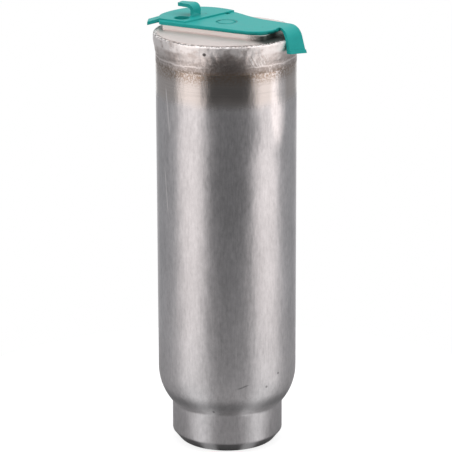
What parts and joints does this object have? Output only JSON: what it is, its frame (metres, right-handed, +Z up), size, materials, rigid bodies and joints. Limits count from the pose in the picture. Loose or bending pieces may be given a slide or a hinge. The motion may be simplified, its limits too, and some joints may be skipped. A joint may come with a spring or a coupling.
{
  "type": "filter drier",
  "caption": "Welded aluminium filter drier: straight can with a reduced foot, machined ported head, and a moulded transit cap with pull tab and finger hook that lifts off the ports.",
  "frame": {"origin": "centre of the can's flat base", "axes": "+Z up along the can's axis towards the head; the flat front of the head's block faces -Y; the pull tab hangs at +X"},
  "size_m": [0.0698, 0.0624, 0.1922],
  "materials": {
    "can_aluminium": "dull drawn surface with fine lines along the can",
    "head_aluminium": "machined, matt on top and brighter on the block's wall",
    "weld": "bright rippled weld, partly ground, with brown heat stain at its lower edge",
    "cap_plastic": "smooth moulded plastic, satin",
    "tube_aluminium": "drawn tube",
    "seal_rubber": "moulded rubber",
    "nylon": "natural moulded nylon",
    "gauze_steel": "fine woven wire",
    "plate_steel": "pressed and perforated sheet",
    "felt": "needled felt",
    "desiccant": "bed of small round beads",
    "spring_steel": "drawn spring wire"
  },
  "bodies": {
    "drier": {"can": "can_aluminium", "head": "head_aluminium", "weld_bead": "weld", "pickup_tube": "tube_aluminium", "tube_seal": "seal_rubber", "strainer_cage": "nylon", "strainer_gauze": "gauze_steel", "lower_plate": "plate_steel", "lower_pad": "felt", "desiccant_bed": "desiccant", "upper_pad": "felt", "upper_plate": "plate_steel", "spring": "spring_steel"},
    "cap": {"transit_cap": "cap_plastic"}
  },
  "joints": [
    {"name": "cap_pull", "type": "slide", "parent": "drier", "child": "cap", "axis": [0, 0, 1], "range_m": [0, 0.035]}
  ]
}
